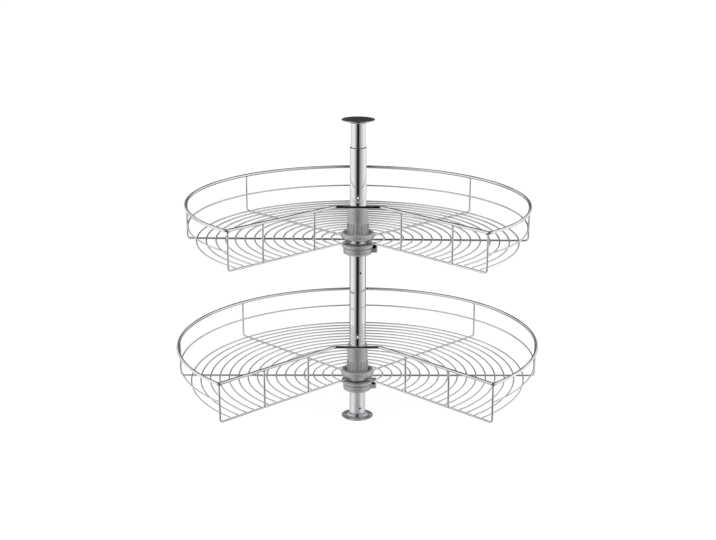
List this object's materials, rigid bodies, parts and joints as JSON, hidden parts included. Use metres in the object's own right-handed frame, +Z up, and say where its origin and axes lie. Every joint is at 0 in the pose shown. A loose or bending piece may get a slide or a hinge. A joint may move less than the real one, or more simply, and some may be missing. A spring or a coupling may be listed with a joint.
{
  "type": "corner carousel",
  "caption": "Two-tier corner carousel: three-quarter round chromed wire trays that turn on a telescopic post fixed between a kitchen corner unit's floor and top.",
  "frame": {"origin": "post axis at the underside of the base flange", "axes": "+Z up along the post, +X to the right as the notch is faced, the open notch faces -Y"},
  "size_m": [0.712, 0.6068, 0.602],
  "materials": {
    "rim_chrome": "bright chrome plate on heavy round wire",
    "wire_chrome": "bright chrome plate on thin round wire",
    "floor_chrome": "bright chrome plate on thin round wire",
    "frame_chrome": "bright chrome plate on round wire",
    "tube_chrome": "polished chrome plate on steel tube",
    "flange_chrome": "chrome plate on a pressed plate",
    "stud_chrome": "bright chrome plate",
    "hub_plastic": "fine satin moulded grey plastic",
    "glide_plastic": "smooth pale slide plastic",
    "screw_steel": "black finished steel screws and nuts"
  },
  "bodies": {
    "post": {"base_flange": "flange_chrome", "outer_tube": "tube_chrome", "guide_bush": "glide_plastic", "stop_studs": "stud_chrome", "grub_screws": "screw_steel"},
    "top_tube": {"inner_tube": "tube_chrome", "top_flange": "flange_chrome"},
    "upper_carrier": {"upper_collar": "hub_plastic", "upper_glide_ring": "glide_plastic", "upper_clamp_screw": "screw_steel", "upper_clamp_nut": "screw_steel"},
    "upper_tray": {"upper_rim": "rim_chrome", "upper_guard_wire": "wire_chrome", "upper_floor_rings": "floor_chrome", "upper_radial_wires": "frame_chrome", "upper_edge_wires": "frame_chrome", "upper_edge_uprights": "frame_chrome", "upper_stub": "tube_chrome", "upper_hub_sleeve": "hub_plastic", "upper_hub_ring": "hub_plastic"},
    "lower_carrier": {"lower_collar": "hub_plastic", "lower_glide_ring": "glide_plastic", "lower_clamp_screw": "screw_steel", "lower_clamp_nut": "screw_steel"},
    "lower_tray": {"lower_rim": "rim_chrome", "lower_guard_wire": "wire_chrome", "lower_floor_rings": "floor_chrome", "lower_radial_wires": "frame_chrome", "lower_edge_wires": "frame_chrome", "lower_edge_uprights": "frame_chrome", "lower_stub": "tube_chrome", "lower_hub_sleeve": "hub_plastic", "lower_hub_ring": "hub_plastic"}
  },
  "joints": [
    {"name": "post_extend", "type": "slide", "parent": "post", "child": "top_tube", "axis": [0, 0, 1], "range_m": [-0.044, 0.14]},
    {"name": "upper_height", "type": "slide", "parent": "post", "child": "upper_carrier", "axis": [0, 0, 1], "range_m": [-0.15, 0.013]},
    {"name": "lower_height", "type": "slide", "parent": "post", "child": "lower_carrier", "axis": [0, 0, 1], "range_m": [-0.045, 0.013]},
    {"name": "upper_turn", "type": "hinge", "parent": "upper_carrier", "child": "upper_tray", "pos_m": [0, 0, 0.441], "axis": [0, 0, 1], "continuous": true},
    {"name": "lower_turn", "type": "hinge", "parent": "lower_carrier", "child": "lower_tray", "pos_m": [0, 0, 0.16], "axis": [0, 0, 1], "continuous": true}
  ]
}
